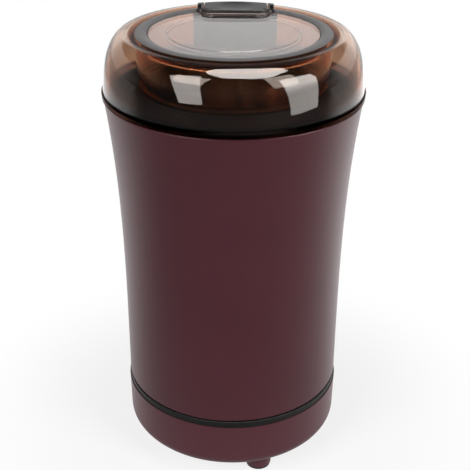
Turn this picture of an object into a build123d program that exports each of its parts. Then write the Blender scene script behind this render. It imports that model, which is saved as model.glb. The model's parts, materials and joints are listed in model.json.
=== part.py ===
from build123d import *
from math import cos, radians, sin, sqrt, tan
import os

# Electric spice grinder, upright, in millimetres. Z is up, the floor is z = 0 and the
# main axis is the Z axis. The front is -Y; the press tab and the cord gland are at +Y.

# ---------------------------------------------------------------- clearances
face_gap = 0.05            # between pieces of one body that fit each other
fit_gap = 0.03             # radial, shafts and pins in their bearings
slide_gap = 0.3            # between pieces that move past each other
ring_gap = 0.1             # radial, rings and inserts in their seats

# ---------------------------------------------------------------- bowl
bowl_radius = 33.5
bowl_depth = 42.2
bowl_wall = 0.8
bowl_corner = 9.0
bowl_rim = 2.4             # width of the flat rim, from the bowl's inside
bowl_gap = 0.3             # bowl's wall to the carrier's cup
bowl_floor_gap = 0.4
seal_thickness = 0.8
bowl_rim_radius = bowl_radius + bowl_rim

# ---------------------------------------------------------------- bowl carrier
cup_wall = 2.0
cup_floor = 2.5
neck_edge = 0.1            # neck's top beyond the bowl's rim
neck_rise = 2.4            # neck's top above the seam
shoulder_width = 4.0       # how far the neck widens downwards
shoulder_drop = 3.7        # shoulder's lower end below the seam
shoulder_share = 0.36      # hollowness of the shoulder, 0.5 is straight
trough_drop = 6.0          # trough's floor below the seam
deck_thickness = 2.2
skirt_wall = 1.5           # wall that goes down to the casing's ledge
rim_width = 1.8            # locating rim inside the lid
rim_step = 0.1             # locating rim's outside is smaller than the skirt's
rim_rise = 1.0             # locating rim's top above the seam
motor_boss_radius = 4.5
motor_boss_height = 5.1
cup_outer = bowl_radius + bowl_wall + bowl_gap + cup_wall
neck_radius = bowl_rim_radius + neck_edge
shoulder_radius = neck_radius + shoulder_width

# ---------------------------------------------------------------- switch plunger
press_travel = 2.5
plunger_offset = 2.7       # plunger's axis beyond the carrier's cup
plunger_radius = 2.5
plunger_rise = 3.4         # plunger's top above the trough's floor
plunger_flange_radius = 3.2
plunger_flange = 1.2
plunger_stem = 1.5
plunger_tip = 0.5
plunger_stem_below_cap = 2.7
guide_bore = 3.5
guide_boss_wall = 0.7
guide_boss_gap = 1.1       # between the plunger's guide and the carrier's skirt
guide_boss_length = 9.0
cap_thickness = 1.5
spring_wire = 0.35
spring_radius = 2.75
spring_turns = 3.5
plunger_y = cup_outer + plunger_offset
skirt_inner = plunger_y + guide_bore + guide_boss_wall + guide_boss_gap
skirt_outer = skirt_inner + skirt_wall
rim_outer = skirt_outer - rim_step
rim_inner = rim_outer - rim_width

# ---------------------------------------------------------------- outer casing
casing_lip = 3.2           # casing's top edge beyond the room for the carrier
flare = 5.3                # casing's top edge beyond its straight part
straight_height = 18.0     # straight part above the casing's bottom edge
housing_height = 122.7
flare_lean = 8.3           # degrees, lean of the casing's side at its top edge
housing_wall = 2.5
housing_edge = 0.6         # rounding of the casing's outer edges
ledge_thickness = 2.2      # inner ledge that carries the bowl carrier
ledge_drop = 9.0           # top of the ledge below the casing's top edge
ledge_reach = 0.4          # ledge's inner edge inside the carrier's skirt
lug_radius = 3.2
lug_inset = 2.2            # screw's axis inside the ledge's inner edge
boss_rib = 2.0
carrier_screw_turn = 30.0  # degrees, clear of the switch at the back
carrier_screw_radius = 1.1
carrier_screw_head_radius = 2.1
carrier_screw_head = 1.6
carrier_screw_hole = 1.4   # clearance hole in the ledge
carrier_screw_bite = 1.3   # how far the screw goes into the carrier's deck
recess_radius = skirt_outer + ring_gap
rim_radius = recess_radius + casing_lip
waist_radius = rim_radius - flare
ledge_inner = skirt_inner - ledge_reach
carrier_screw_circle = ledge_inner - lug_inset

# ---------------------------------------------------------------- base
foot_height = 8.4
foot_radius = 5.3
foot_flare = 0.7           # extra radius where the foot meets the base
foot_inset = 12.5          # foot's axis inside the base's side
foot_count = 4
foot_turn = 21.6           # degrees of the first foot from the front, towards +X
pad_thickness = 1.2
pad_inset = 0.35
base_height = 20.5
base_step = 0.4            # base's top edge beyond the casing's straight part
base_draft = 0.35
base_wall = 2.2
base_edge = 5.4
base_screw_inset = 9.6     # screw's axis inside the casing's straight part
base_screw_radius = 1.5
base_screw_head_radius = 2.9
base_screw_head = 2.2
base_screw_bite = 12.0     # length of the screw inside the casing's boss
post_radius = 3.4
recess_depth = 6.0
recess_wall = 1.3
boss_height = 26.0         # casing bosses above the casing's bottom edge
vent_count = 10
vent_inner = 12.0
vent_outer = 24.0
vent_width = 3.0
band_height = 2.7
band_step = 0.1            # band's side beyond the casing's straight part
band_gap = 0.4             # shadow gap above the band
band_stand = 4.4           # band's locating wall, above and below
band_wall = 2.0
base_radius = waist_radius + base_step
band_radius = waist_radius + band_step
foot_circle = base_radius - foot_inset
foot_start = 270 + foot_turn
base_screw_circle = waist_radius - base_screw_inset
base_screw_turn = foot_start + 45

# ---------------------------------------------------------------- cord gland
gland_rise = 10.0          # gland's axis above the base's bottom
gland_bore = 3.2
gland_neck = 5.0
gland_flange = 6.8
gland_flange_thickness = 2.0
gland_inner_length = 4.0
gland_lock = 0.9           # extra radius of the ridge behind the wall
gland_lock_thickness = 1.0

# ---------------------------------------------------------------- lid
seam_gap = 0.3             # between the casing's top edge and the lid
lid_overhang = 0.6         # lid's bead beyond the casing's top edge
lid_height = 24.4          # to the start of the rounded crest
lid_wall = 2.2
bead_height = 2.1
bead_step = 0.55
dome_side_handle = 14.0    # how far the dome's side stays steep
dome_side_lean = 0.7
dome_top_handle = 7.3      # how far the dome's top stays flat
dome_top_slope = 15.0      # degrees
collar_edge = 0.6          # collar's top beyond the bowl's rim
collar_taper = 0.5         # the collar's foot is narrower than its top
collar_wall = 2.0
collar_fillet = 3.2
collar_gap = 0.3           # collar above the bowl's rim
crest_land = 2.0           # crest beyond the ring
crest_roll = 0.8           # how far the crest's curve reaches inwards before it falls
ring_overhang = 0.4        # ring's outside beyond the collar
ring_width = 4.6
ring_height = 2.3
ring_drop = 1.2            # ring's top below the crest
ring_crown = 0.35          # the ring's edges stand below its crowned middle
disc_drop = 0.6            # clear window's top below the ring's top
disc_thickness = 3.0
window_flange = 2.0        # window's flange, held under the ring
window_seat = 1.2          # thickness of the collar's shelf under the window
window_shelf = 1.3         # how far that shelf reaches under the flange
window_edge = 0.3          # chamfer of the plug's upper edge
window_margin = 7.1        # from the ring to the raised middle of the window
window_step = 0.2
lid_radius = rim_radius + lid_overhang
collar_radius = bowl_rim_radius + collar_edge
ring_outer = collar_radius + ring_overhang
ring_inner = ring_outer - ring_width
crest_radius = ring_outer + crest_land
window_radius = ring_inner + window_flange
window_seat_inner = window_radius - window_shelf
window_step_radius = ring_inner - window_margin

# ---------------------------------------------------------------- press tab
tab_half_width = 12.5
tab_length = 11.7          # from the tab's front to the ring's outside
tab_overhang = 1.2         # tab's rear edge beyond the ring, in the lid's crest
tab_corner = 3.4
tab_thickness = 1.9
tab_rise = 1.3             # tab's top above the ring's top
tab_skirt_inset = 1.0
frame_width = 0.8
frame_rise = 1.2           # tab frame's top above the ring's top
frame_ear = 1.6
frame_ear_height = 0.7
guide_rim = 0.8            # guide's raised rim round the tab's frame
pocket_wall = 1.5          # lid's wall round the room for the tab's rear edge
guide_wall = 1.4
guide_half_width = 16.4
guide_bottom_gap = 3.5     # press guide's floor above the collar's foot
rod_flange = 1.4
rod_half_width = 5.0
rod_thickness = 3.0
rod_foot = 2.2
rod_pin_radius = 2.0
rod_heel = 4.6             # from the pin forwards to the rod's post
tab_front = ring_outer - tab_length
tab_back = ring_outer + tab_overhang

# ---------------------------------------------------------------- microswitch
switch_length = 12.8
switch_width = 4.8
switch_height = 6.5
switch_end = 3.4           # case's end beyond the plunger's axis
lever_pivot_x = -8.6
lever_pivot_rise = 1.15
lever_thickness = 0.4
lever_width = 2.8
lever_angle = 17.0         # degrees, at rest
lever_pin_radius = 0.4
lever_eye_wall = 0.35
lever_reach = 11.2
switch_button_x = -5.6
switch_button_radius = 0.75
switch_button_rise = 1.75
switch_button_depth = 2.2
switch_screw_radius = 0.9
switch_screw_head_radius = 1.5
switch_screw_head = 0.7
switch_screw_offsets = (-6.0, 0.4)
switch_blade_length = 4.0  # terminals below the case
button_ratio = 0.36        # button's travel per travel of the plunger
switch_screw_rise = 2.0
switch_pad_bite = 1.5      # how far the switch's pad is sunk in the cup's wall

# ---------------------------------------------------------------- motor
shaft_radius = 3.0
thread_radius = 2.4
motor_drop = 5.5           # rubber dampers' height under the carrier's bosses
bolt_offset = 25.0
bolt_radius = 1.5
bolt_head_radius = 3.0
bolt_head = 2.0
damper_radius = 4.5
bracket_length = 56.0
bracket_width = 18.0
bracket_plate = 2.5
bracket_leg = 5.7
bearing_radius = 6.5
bearing_length = 7.0
bearing_seat_radius = 9.0
stator_width = 56.0
stator_depth = 48.0
stator_corner = 9.0
stator_height = 26.0
stator_window = 22.0
pole_half_angle = 40.0
coil_half_angle = 60.0
coil_outer = 21.4
coil_overhang = 6.0
coil_gap = 0.4
upper_leg = 8.5            # upper bracket's legs, down to the stator
lower_leg = 24.0           # lower bracket's legs, up to the stator
air_gap = 0.5
armature_radius = 15.0
armature_slots = 12
slot_inner = 7.6
slot_outer = 13.4
slot_width = 2.8
slot_mouth = 1.2
winding_radius = 13.4
winding_inner = 4.6
winding_overhang = 6.5
winding_rounding = 2.6
commutator_radius = 9.0
commutator_length = 12.0
commutator_riser = 1.0
commutator_drop = 8.0      # commutator's top below the stator
commutator_slit = 0.5
commutator_slit_depth = 0.8
brush_side = 6.4
brush_length = 8.0
brush_holder_wall = 0.8
brush_holder_end = 21.5
brush_holder_start = 10.8
brush_spring_thickness = 1.6    # measured along the brush's width
brush_spring_bends = 4
brush_mount_half_width = 5.0
fan_radius = 26.0
fan_height = 8.0
fan_plate = 1.2
fan_vane = 1.2
fan_vanes = 9
fan_hub = 6.5
fan_gap = 2.5              # fan below the lower bearing

# ---------------------------------------------------------------- blade
bush_radius = 6.5
bush_flange_radius = 8.5
bush_flange = 1.8
hub_radius = 5.0
hub_height = 2.5
blade_thickness = 1.4
blade_tip_gap = 5.0        # blade's tips to the bowl's wall
blade_bend = 20.0          # radius where the tips bend
blade_root_width = 12.0
blade_bend_width = 10.5
blade_tip_width = 6.0
blade_centre = 7.0
blade_up = 32.0            # degrees, one tip bends up
blade_down = 14.0          # degrees, the other bends down
blade_bevel = 0.7
nut_across = 8.0
nut_height = 3.4
nut_dome = 2.0
blade_reach = bowl_radius - blade_tip_gap

# ---------------------------------------------------------------- heights
base_bottom = foot_height
base_floor_top = base_bottom + base_wall
base_top = base_bottom + base_height
band_top = base_top + band_height
housing_bottom = band_top + band_gap
housing_top = housing_bottom + housing_height
ledge_top = housing_top - ledge_drop
seam = housing_top + seam_gap
crest = seam + lid_height
ring_top = crest - ring_drop
ring_bottom = ring_top - ring_height
disc_top = ring_top - disc_drop
disc_bottom = disc_top - disc_thickness
tab_low = ring_top + tab_rise - tab_thickness
neck_top = seam + neck_rise
trough = seam - trough_drop
shoulder = seam - shoulder_drop
bowl_top = neck_top + seal_thickness + bowl_wall
bowl_floor = bowl_top - bowl_depth
cup_floor_top = bowl_floor - bowl_wall - bowl_floor_gap
cup_floor_bottom = cup_floor_top - cup_floor
boss_bottom = cup_floor_bottom - motor_boss_height
collar_bottom = bowl_top + collar_gap
guide_bottom = collar_bottom + guide_bottom_gap
bracket_top = boss_bottom - motor_drop
stator_top = bracket_top - bracket_plate - upper_leg
stator_bottom = stator_top - stator_height
lower_plate_top = stator_bottom - lower_leg
lower_plate_bottom = lower_plate_top - bracket_plate
commutator_top = stator_bottom - commutator_drop
brush_height = commutator_top - commutator_riser - commutator_length / 2
bearing_bottom = lower_plate_bottom - bearing_length + bracket_plate
fan_top = bearing_bottom - fan_gap
fan_bottom = fan_top - fan_height
hub_bottom = bowl_floor + bush_flange + slide_gap
blade_bottom = hub_bottom + hub_height
blade_top = blade_bottom + blade_thickness
nut_top = blade_top + nut_height + nut_dome
plunger_top = trough + plunger_rise
deck_bottom = trough - deck_thickness
guide_boss_bottom = deck_bottom - guide_boss_length
cap_bottom = guide_boss_bottom - cap_thickness
plunger_bottom = cap_bottom - plunger_stem_below_cap
lever_rise = (plunger_tip - lever_pivot_x) * tan(radians(lever_angle))
lever_top = lever_thickness / cos(radians(lever_angle))
pivot_z = plunger_bottom - slide_gap - lever_rise - lever_top
switch_top = pivot_z - lever_pivot_rise
switch_bottom = switch_top - switch_height
switch_start = switch_end - switch_length
switch_near = plunger_y - switch_width / 2
switch_far = plunger_y + switch_width / 2

UP = (Align.CENTER, Align.CENTER, Align.MIN)


# ---------------------------------------------------------------- helpers
def rod(radius, low, high, x=0, y=0):
    """Upright cylinder between two heights."""
    return Pos(x, y, low) * Cylinder(radius, high - low, align=UP)


def tube(outer, inner, low, high, x=0, y=0):
    """Upright tube between two heights."""
    return rod(outer, low, high, x, y) - rod(inner, low, high, x, y)


def block(x0, x1, y0, y1, z0, z1):
    """Box from its limits along each axis."""
    corner = (Align.MIN, Align.MIN, Align.MIN)
    return Pos(x0, y0, z0) * Box(x1 - x0, y1 - y0, z1 - z0, align=corner)


def spun(*edges):
    """Solid of revolution about Z of a closed outline drawn in the XZ plane."""
    return revolve(make_face(Curve() + list(edges)), Axis.Z)


def turned(*corners):
    """Solid of revolution about Z of an outline of straight lines."""
    return spun(Polyline(*[(r, 0, z) for r, z in corners], close=True))


def around(count, start=0.0):
    """Rotations about Z for evenly spaced copies."""
    return [Rot(0, 0, start + i * 360 / count) for i in range(count)]


def sector(radius, half_angle, low, high, centre=0.0):
    """Wedge of a cylinder, half_angle each way from the direction centre."""
    reach = 3 * radius
    a = radians(half_angle)
    outline = Polyline((0, 0), (reach * cos(a), -reach * sin(a)),
                       (reach * cos(a), reach * sin(a)), close=True)
    wedge = Pos(0, 0, low) * extrude(make_face(outline), high - low)
    return (Rot(0, 0, centre) * wedge) & rod(radius, low, high)


def flare_points(inset):
    """Control points of the casing's flare, moved inwards by a wall."""
    low = housing_bottom + straight_height
    third = (housing_top - low) / 3
    drop = third * tan(radians(flare_lean))
    return [(waist_radius - inset, 0, low), (waist_radius - inset, 0, low + third),
            (rim_radius - inset - drop, 0, housing_top - third),
            (rim_radius - inset, 0, housing_top)]


def casing_solid(inset, low):
    """Solid inside the casing's side, from a height up to the top edge."""
    points = flare_points(inset)
    start = (waist_radius - inset, 0, low)
    return spun(Line((0, 0, low), start), Line(start, points[0]), Bezier(*points),
                Line(points[-1], (0, 0, housing_top)), Line((0, 0, housing_top), (0, 0, low)))


def round_edges(solid, height):
    """Circular edges that lie at one height."""
    return [e for e in solid.edges().filter_by(GeomType.CIRCLE)
            if abs(e.center().Z - height) < 0.01]


# ---------------------------------------------------------------- casing and base
def make_housing():
    """Flared casing, open below, with the carrier's ledge and the base's screw bosses."""
    outer = casing_solid(0, housing_bottom)
    outer = fillet(round_edges(outer, housing_top) + round_edges(outer, housing_bottom),
                   housing_edge)
    shell = outer - casing_solid(housing_wall, housing_bottom)
    shell -= rod(recess_radius, ledge_top, housing_top)
    ledge_bottom = ledge_top - ledge_thickness
    inside = tube(rim_radius, ledge_inner, ledge_bottom, ledge_top)
    for turn in around(3, carrier_screw_turn):
        inside += turn * rod(lug_radius, ledge_bottom, ledge_top, carrier_screw_circle)
        inside += turn * block(carrier_screw_circle, rim_radius, -lug_radius, lug_radius,
                               ledge_bottom, ledge_top)
    boss_top = housing_bottom + boss_height
    for turn in around(4, base_screw_turn):
        boss = rod(post_radius, housing_bottom, boss_top, base_screw_circle)
        boss += block(base_screw_circle, waist_radius, -boss_rib / 2, boss_rib / 2,
                      housing_bottom + band_stand + slide_gap, boss_top)
        boss -= rod(base_screw_radius + ring_gap, housing_bottom,
                    housing_bottom + base_screw_bite + 2, base_screw_circle)
        inside += turn * boss
    shell += inside & casing_solid(housing_wall / 2, housing_bottom)
    for turn in around(3, carrier_screw_turn):
        shell -= turn * rod(carrier_screw_hole, ledge_bottom, ledge_top, carrier_screw_circle)
    return shell


def make_trim_band():
    """Charcoal ring between the casing and the base, with walls that locate both."""
    inner = waist_radius - housing_wall - ring_gap - band_wall
    ring = tube(band_radius, inner, base_top, band_top)
    ring = fillet(round_edges(ring, band_top), 0.2)
    ring += tube(waist_radius - housing_wall - ring_gap, inner, band_top,
                 band_top + band_gap + band_stand)
    draft = base_draft * band_stand / base_height
    ring += tube(base_radius - base_wall - ring_gap - draft, inner, base_top - band_stand,
                 base_top)
    return ring


def base_solid(inset, low, edge):
    """Solid of the base's outer form, moved inwards by a wall."""
    lower = base_radius - base_draft - inset
    solid = turned((0, low), (lower, low), (base_radius - inset, base_top), (0, base_top))
    return fillet(round_edges(solid, low), edge)


def make_base_cap():
    """Cup with a rounded lower edge, moulded feet, screw posts, vents and the gland's hole."""
    cap = base_solid(0, base_bottom, base_edge)
    cap -= base_solid(base_wall, base_floor_top, base_edge - base_wall)
    post_low = base_bottom + recess_depth + base_wall
    for turn in around(4, base_screw_turn):
        wide = base_screw_head_radius + slide_gap + recess_wall
        post = rod(wide, base_bottom + 0.5, post_low, base_screw_circle)
        post += rod(post_radius, post_low, housing_bottom - face_gap, base_screw_circle)
        hole = rod(base_screw_head_radius + slide_gap, 0, base_bottom + recess_depth,
                   base_screw_circle)
        hole += rod(base_screw_radius + ring_gap, 0, housing_bottom, base_screw_circle)
        cap = cap + turn * post - turn * hole
    for turn in around(foot_count, foot_start):
        foot = Cone(foot_radius, foot_radius + foot_flare, base_floor_top - pad_thickness,
                    align=UP)
        cap += turn * (Pos(foot_circle, 0, pad_thickness) * foot)
    for turn in around(vent_count, foot_start + 180 / vent_count):
        slot = block(vent_inner, vent_outer, -vent_width / 2, vent_width / 2, 0, base_floor_top + 1)
        slot = fillet(slot.edges().filter_by(Axis.Z), vent_width / 2 - 0.01)
        cap -= turn * slot
    bore = Cylinder(gland_neck + face_gap, base_radius, align=UP)
    return cap - Pos(0, 0, base_bottom + gland_rise) * Rot(-90, 0, 0) * bore


def make_foot_pads():
    """Rubber pads that the grinder stands on."""
    return [turn * rod(foot_radius - pad_inset, 0, pad_thickness, foot_circle)
            for turn in around(foot_count, foot_start)]


def screw(radius, head_radius, head, low, high, slot_depth=0.8):
    """Round-headed screw, its head below, standing between two heights on the Z axis."""
    body = rod(head_radius, low, low + head)
    body = fillet(round_edges(body, low), 0.5)
    body += rod(radius, low + head, high)
    reach = head_radius * 0.62
    for angle in (0, 90):
        body -= Rot(0, 0, angle) * block(-reach, reach, -0.35, 0.35, low - 1, low + slot_depth)
    return body


def make_base_screws():
    """Four screws up through the base cap into the casing's bosses."""
    seat = base_bottom + recess_depth
    one = screw(base_screw_radius, base_screw_head_radius, base_screw_head,
                seat - base_screw_head, housing_bottom + base_screw_bite)
    return [turn * Pos(base_screw_circle, 0, 0) * one
            for turn in around(4, base_screw_turn)]


def make_cord_gland():
    """Rubber bush in the base's rear wall that the cord leaves by."""
    face = base_radius + gland_flange_thickness
    inner_end = base_radius - base_wall - gland_inner_length
    gland = Pos(0, inner_end, 0) * Rot(-90, 0, 0) * Cylinder(gland_neck, face - inner_end, align=UP)
    flange_start = sqrt(base_radius ** 2 - gland_flange ** 2) - 0.5
    flange = Cylinder(gland_flange, face - flange_start, align=UP)
    flange = Pos(0, flange_start, 0) * Rot(-90, 0, 0) * fillet(
        round_edges(flange, face - flange_start), 1.0)
    flange -= Cylinder(base_radius + face_gap, 3 * gland_flange)
    lock_start = base_radius - base_wall - base_draft - gland_lock_thickness
    lock_start -= (gland_neck + gland_lock) ** 2 / (2 * base_radius) + face_gap
    lock = Cylinder(gland_neck + gland_lock, gland_lock_thickness, align=UP)
    gland += flange + Pos(0, lock_start, 0) * Rot(-90, 0, 0) * lock
    gland -= Pos(0, inner_end - 1, 0) * Rot(-90, 0, 0) * Cylinder(
        gland_bore, face - inner_end + 2, align=UP)
    return Pos(0, 0, base_bottom + gland_rise) * gland


# ---------------------------------------------------------------- lid
def dome_points(inset):
    """Control points of the dome's side, moved inwards and down by a wall."""
    start = (lid_radius - bead_step - inset, 0, seam + bead_height)
    slope = radians(dome_top_slope)
    end = (crest_radius + inset * 0.6, 0, crest - inset)
    side = (start[0] - dome_side_lean, 0, start[2] + dome_side_handle - inset * 0.4)
    top = (end[0] + dome_top_handle * cos(slope) - inset * 0.6, 0,
           end[2] - dome_top_handle * sin(slope))
    return [start, side, top, end]


def make_lid_shell():
    """Dome and inner collar in one smoked see-through moulding, with the seats at its top."""
    outer = dome_points(0)
    inner = dome_points(lid_wall)
    lip = ring_outer + ring_gap
    lip_top = ring_top - ring_crown + face_gap
    slope = radians(dome_top_slope)
    roll = (crest_radius - crest_roll * cos(slope), 0, crest + crest_roll * sin(slope))
    bead_top = (lid_radius, 0, seam + bead_height - bead_step)
    rim_in = lid_radius - lid_wall
    collar_in = collar_radius - collar_wall
    seat = window_radius + ring_gap
    shelf_low = disc_bottom - face_gap - window_seat
    under = (inner[3][0], 0, inner[3][2])
    fillet_end = (collar_radius + 0.3, 0, under[2] - collar_fillet)
    mid = ((under[0] + fillet_end[0]) / 2 - 0.5, 0, (under[2] + fillet_end[2]) / 2 + 0.6)
    lid = spun(
        Polyline((rim_in, 0, seam), (lid_radius, 0, seam), bead_top, outer[0]),
        Bezier(*outer),
        Bezier(outer[3], roll, (lip, 0, roll[2]), (lip, 0, lip_top)),
        Polyline((lip, 0, lip_top), (lip, 0, ring_bottom - face_gap), (seat, 0, ring_bottom - face_gap),
                 (seat, 0, disc_bottom - face_gap), (window_seat_inner, 0, disc_bottom - face_gap),
                 (window_seat_inner, 0, shelf_low), (collar_in + 0.4, 0, shelf_low),
                 (collar_in - collar_taper, 0, collar_bottom),
                 (collar_radius - collar_taper, 0, collar_bottom), fillet_end),
        ThreePointArc(fillet_end, mid, under),
        Bezier(*reversed(inner)),
        Polyline(inner[0], (rim_in, 0, seam + bead_height - 0.8), (rim_in, 0, seam)),
    )
    lid += tab_pocket(pocket_wall) - rod(collar_radius - collar_wall / 2, collar_bottom, crest)
    return lid - guide_notch(lip) - tab_notch()


def guide_notch(radius):
    """Room for the press guide in the lid's top, out to a radius."""
    reach = guide_half_width + ring_gap
    low = guide_bottom - ring_gap
    notch = block(-reach, reach, guide_front() - ring_gap, radius, low, crest + 2)
    return notch & rod(radius, low, crest + 2)


def tab_pocket(grow):
    """Room for the tab's rear edge as it goes down, grown by a wall."""
    reach = tab_half_width + slide_gap + grow
    low = tab_low - press_travel - slide_gap - grow
    pocket = block(-reach, reach, tab_front, lid_radius, low, crest - lid_wall)
    return pocket & rod(tab_back + slide_gap + grow, low, crest - lid_wall)


def tab_notch():
    """Step in the lid's crest for the tab, the arms of its frame and their ears."""
    reach = tab_half_width + slide_gap + frame_width + frame_ear + ring_gap
    low = disc_top + guide_rim
    notch = block(-reach, reach, tab_front, lid_radius, low, crest + 2)
    notch &= rod(tab_back + slide_gap, low, crest + 2)
    half = tab_half_width + slide_gap
    slot = block(-half, half, tab_front, lid_radius, crest - lid_wall, crest + 2)
    return notch + (slot & rod(tab_back + slide_gap, crest - lid_wall, crest + 2)) + tab_pocket(0)


def make_lid_window():
    """Clear window in the lid's top: a plug inside the ring on a flange under it."""
    plug = ring_inner - ring_gap
    high = ring_bottom - face_gap
    window = turned((0, disc_bottom), (window_radius, disc_bottom), (window_radius, high),
                    (plug, high), (plug, disc_top - window_edge), (plug - window_edge, disc_top),
                    (window_step_radius, disc_top),
                    (window_step_radius - window_step, disc_top + window_step),
                    (0, disc_top + window_step))
    return window - guide_notch(ring_outer)


def guide_front():
    """Front face of the press guide, ahead of the tab by its gap and wall."""
    return tab_front - slide_gap - 0.1 - guide_wall


def tab_outline(grow):
    """Outline of the press tab seen from above, grown by a gap, open towards the back."""
    half = tab_half_width + grow
    front = tab_front - grow
    face = make_face(Polyline((-half, front), (half, front), (half, lid_radius),
                              (-half, lid_radius), close=True))
    corners = [v for v in face.vertices() if v.Y < front + 1]
    return fillet(corners, tab_corner + grow)


def make_lid_ring():
    """Dark ring round the window, carrying the raised frame of the press tab."""
    edge = ring_top - ring_crown
    middle = (ring_inner + ring_outer) / 2
    ring = spun(
        Polyline((ring_inner, 0, edge), (ring_inner, 0, ring_bottom), (ring_outer, 0, ring_bottom),
                 (ring_outer, 0, edge)),
        ThreePointArc((ring_outer, 0, edge), (middle, 0, ring_top), (ring_inner, 0, edge)),
    )
    gap = slide_gap
    high = ring_top + frame_rise
    half = tab_half_width + gap + frame_width
    low = disc_top + guide_rim + face_gap
    frame = tab_outline(gap + frame_width) - tab_outline(gap)
    frame = Pos(0, 0, low) * extrude(frame, high - low) & rod(tab_back, low, high)
    ears = block(-half - frame_ear, half + frame_ear, tab_front, lid_radius,
                 high - frame_ear_height, high)
    ears &= tube(tab_back + slide_gap - ring_gap, ring_outer, high - frame_ear_height, high)
    feet = block(-half - frame_ear, half + frame_ear, tab_front, lid_radius, ring_bottom, high)
    feet &= tube(ring_outer, ring_outer - frame_width, ring_bottom, high)
    opening = Pos(0, 0, ring_bottom - 1) * extrude(tab_outline(gap), high - ring_bottom + 2)
    return ring + frame + ears + feet - opening


def make_press_guide():
    """Box under the press tab: front, sides, floor, and a top plate whose rim holds the frame."""
    front, half = guide_front(), guide_half_width
    back_cut = rod(ring_outer - ring_gap, guide_bottom, disc_top)
    box = block(-half, half, front, lid_radius, guide_bottom, disc_top)
    hollow = block(-half + guide_wall, half - guide_wall, front + guide_wall, lid_radius,
                   guide_bottom + guide_wall, disc_top - guide_wall)
    rim_high = disc_top + guide_rim
    rim = Pos(0, 0, disc_top - guide_wall) * extrude(
        tab_outline(tab_front - front), guide_wall + guide_rim)
    rim &= rod(ring_inner - ring_gap, disc_top - guide_wall, rim_high)
    rim = fillet([e for e in rim.edges() if e.center().Z > rim_high - 0.01
                  and e.center().Y < ring_inner - 4], 0.4)
    opening = Pos(0, 0, disc_top - guide_wall) * extrude(tab_outline(slide_gap),
                                                         guide_wall + guide_rim)
    guide = (box & back_cut) - hollow + rim - opening
    ring_seat = tube(lid_radius, ring_inner - ring_gap, ring_bottom - face_gap, crest)
    collar_outer = rod(collar_radius, guide_bottom, guide_bottom + guide_wall)
    floor_trim = block(-half, half, 0, lid_radius, guide_bottom, guide_bottom + guide_wall)
    return guide - ring_seat - (floor_trim - collar_outer)


def make_press_tab():
    """Tab that the finger presses, slightly crowned, with a skirt that stands on the push rod."""
    top = ring_top + tab_rise
    plate = Pos(0, 0, tab_low) * extrude(tab_outline(0), tab_thickness)
    plate &= rod(tab_back, tab_low, top)
    plate = fillet([e for e in plate.edges() if e.center().Z > top - 0.01], 0.5)
    crown_radius = 60.0
    dip = Pos(0, tab_front + 5, top + crown_radius - 0.45) * Sphere(crown_radius)
    skirt = Pos(0, 0, rod_top()) * extrude(tab_outline(-tab_skirt_inset), tab_low - rod_top())
    skirt &= rod(ring_outer - 1.0, rod_top(), tab_low)
    return plate - dip + skirt


def rod_top():
    """Top of the push rod's flange, just under the ring."""
    return ring_bottom - slide_gap


def make_push_rod():
    """Rod under the tab: stop flange, post, foot that reaches back, and the pin over the plunger."""
    high = rod_top()
    reach = guide_half_width - guide_wall - slide_gap - 0.1
    flange = block(-reach, reach, tab_front + 0.8, lid_radius, high - rod_flange, high)
    flange &= rod(ring_outer - 1.2, high - rod_flange, high)
    foot_bottom = guide_bottom + guide_wall + press_travel + slide_gap + 0.1
    post_front = plunger_y - rod_pin_radius - rod_heel - rod_thickness
    post = block(-rod_half_width, rod_half_width, post_front, post_front + rod_thickness,
                 foot_bottom, high)
    foot = block(-rod_half_width, rod_half_width, post_front, plunger_y + rod_pin_radius,
                 foot_bottom, foot_bottom + rod_foot)
    foot = fillet([e for e in foot.edges().filter_by(Axis.Z) if e.center().Y > plunger_y], 1.8)
    rib = block(-0.8, 0.8, post_front + rod_thickness, plunger_y - 3.5, foot_bottom, high - 4.5)
    pin = rod(rod_pin_radius, plunger_top + slide_gap, foot_bottom, 0, plunger_y)
    return flange + post + foot + rib + pin


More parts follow.
